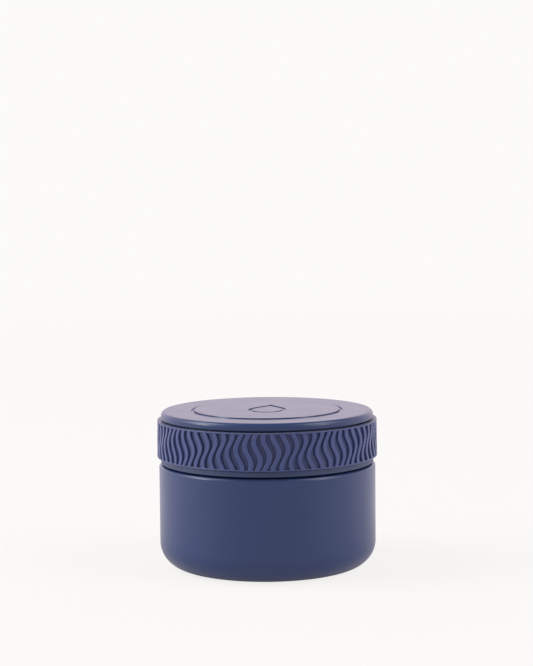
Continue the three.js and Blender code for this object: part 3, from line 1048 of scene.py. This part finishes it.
# Painted shade under the foot: that glow falls nearly to black close to the axis.
near = add(tree, "ShaderNodeValToRGB", wires={"Fac": away.outputs["Value"]})
for place_m, share in FOOT_SHADE_STOPS:
    stop = near.color_ramp.elements.new(place_m)
    stop.color = (share, share, share, 1.0)
near.color_ramp.elements.remove(near.color_ramp.elements[0])
near.color_ramp.elements.remove(near.color_ramp.elements[-1])
wires = {0: depth, 1: near.outputs["Color"]}
painted_bounce = add(tree, "ShaderNodeMath", {"operation": "MULTIPLY"}, wires=wires)
far_off = smooth_range(tree, away.outputs["Value"], (FADE_START, FADE_END), (0.0, 1.0))
tree.links.new(tint(tree, far_off, "#5E5E5E", "#000000"), shader.inputs["Base Color"])
values = {"To Min": NEAR_GLOW, "To Max": FAR_GLOW}
even = add(tree, "ShaderNodeMapRange", values=values, wires={"Value": far_off})
# Camera rays see the even floor; all other rays see the painted glow with its painted shade.
seen = add(tree, "ShaderNodeLightPath").outputs["Is Camera Ray"]
wires = {"Value": seen, "To Min": painted_bounce.outputs["Value"], "To Max": even.outputs["Result"]}
lit = add(tree, "ShaderNodeMapRange", wires=wires)
tree.links.new(lit.outputs["Result"], shader.inputs["Emission Strength"])
# The painted glow that the tin sees has a pinkish tint.
tree.links.new(tint(tree, seen, "#FFF4F8", BACKDROP), shader.inputs["Emission Color"])
floor.data.materials.append(white)

# %% [markdown]
# ### Light from all round
# White walls stand round the table. They are bright behind and at the sides, dim in front and
# overhead, so the lid's top takes a light sheen from behind and the front stays deep in colour.

# %% Surrounding light
FRONT_LIGHT, SIDE_LIGHT, BACK_LIGHT = 0.5, 1.12, 1.35
OVERHEAD = 0.3
FRONT_TO_SIDE = (-1.0, -0.1)  # parts of a direction that points out at the walls
SIDE_TO_BACK = (0.3, 0.95)
WALL_TO_CEILING = (0.35, 0.75)
world = bpy.data.worlds.new("studio")
bpy.context.scene.world = world
world.use_nodes = True
tree = world.node_tree
tree.nodes.clear()
ray = add(tree, "ShaderNodeLightPath")
facing = add(tree, "ShaderNodeTexCoord").outputs["Generated"]
split = add(tree, "ShaderNodeSeparateXYZ", wires={"Vector": facing})
front = smooth_range(tree, split.outputs["Y"], FRONT_TO_SIDE, (FRONT_LIGHT, SIDE_LIGHT))
back = smooth_range(tree, split.outputs["Y"], SIDE_TO_BACK, (1.0, BACK_LIGHT / SIDE_LIGHT))
dim = smooth_range(tree, split.outputs["Z"], WALL_TO_CEILING, (1.0, OVERHEAD))
level = add(tree, "ShaderNodeMath", {"operation": "MULTIPLY"}, wires={0: front, 1: back})
wires = {0: level.outputs["Value"], 1: dim}
glow = add(tree, "ShaderNodeMath", {"operation": "MULTIPLY"}, wires=wires)
values = {"Color": paint("#FFF0F7")}
around = add(tree, "ShaderNodeBackground", values=values, wires={"Strength": glow.outputs["Value"]})
behind = add(tree, "ShaderNodeBackground", values={"Color": paint(BACKDROP)})
wires = {
    0: ray.outputs["Is Camera Ray"],
    1: around.outputs["Background"],
    2: behind.outputs["Background"],
}
pick = add(tree, "ShaderNodeMixShader", wires=wires)
add(tree, "ShaderNodeOutputWorld", wires={"Surface": pick.outputs["Shader"]})

# %% [markdown]
# ### Soft boxes
# Two large boxes stand high, the brighter on the left, and make the shadow that falls faintly to
# the right. Two small ones stand low. They put the bright strips on the plate's rounded rim and
# on the shoulder, at the front left and the front right.

# %% Soft boxes
FAR_LAMP = 3.0
LAMP_CENTRE = Vector((0, 0, 0.05))


def soft_box(name, towards, wide, tall, radiance):
    """A rectangular soft box that faces the tin, at a true radiance."""
    lamp = bpy.data.lights.new(name, "AREA")
    lamp.shape = "RECTANGLE"
    lamp.size, lamp.size_y = wide, tall
    lamp.energy = radiance * math.pi * wide * tall
    holder = bpy.data.objects.new(name, lamp)
    bpy.context.collection.objects.link(holder)
    way = Vector(towards).normalized()
    holder.location = way * FAR_LAMP + LAMP_CENTRE
    holder.rotation_mode = "QUATERNION"
    holder.rotation_quaternion = way.to_track_quat("Z", "Y")
    holder.visible_camera = False


soft_box("left_box", (-0.72, 0.02, 0.69), 1.7, 1.7, 5.5)
soft_box("low_left_box", (-0.93, -0.27, 0.26), 0.8, 0.8, 13.0)
soft_box("low_right_box", (0.86, -0.47, 0.2), 0.7, 0.6, 8.0)
soft_box("right_box", (0.66, -0.2, 0.72), 1.4, 1.4, 5.0)

# %% [markdown]
# ### Camera
# A long lens looks a little down at the tin from nearly a metre away, with a very slight roll.

# %% Camera
FAR = 900.0  # from the tin's axis to the camera, in millimetres
HIGH, ASIDE = 189.5, 0.17
TILT, ROLL = 0.0899, -0.0092  # radians
camera = bpy.data.cameras.new("camera")
camera.sensor_width = 36.0
camera.lens = 105.5
camera.clip_end = 500.0
viewer = bpy.data.objects.new("camera", camera)
bpy.context.collection.objects.link(viewer)
viewer.matrix_world = (
    Matrix.Translation((ASIDE * MM, -FAR * MM, HIGH * MM))
    @ Matrix.Rotation(math.pi / 2 - TILT, 4, "X")
    @ Matrix.Rotation(ROLL, 4, "Z")
)
bpy.context.scene.camera = viewer
bpy.context.scene.view_settings.view_transform = "Standard"
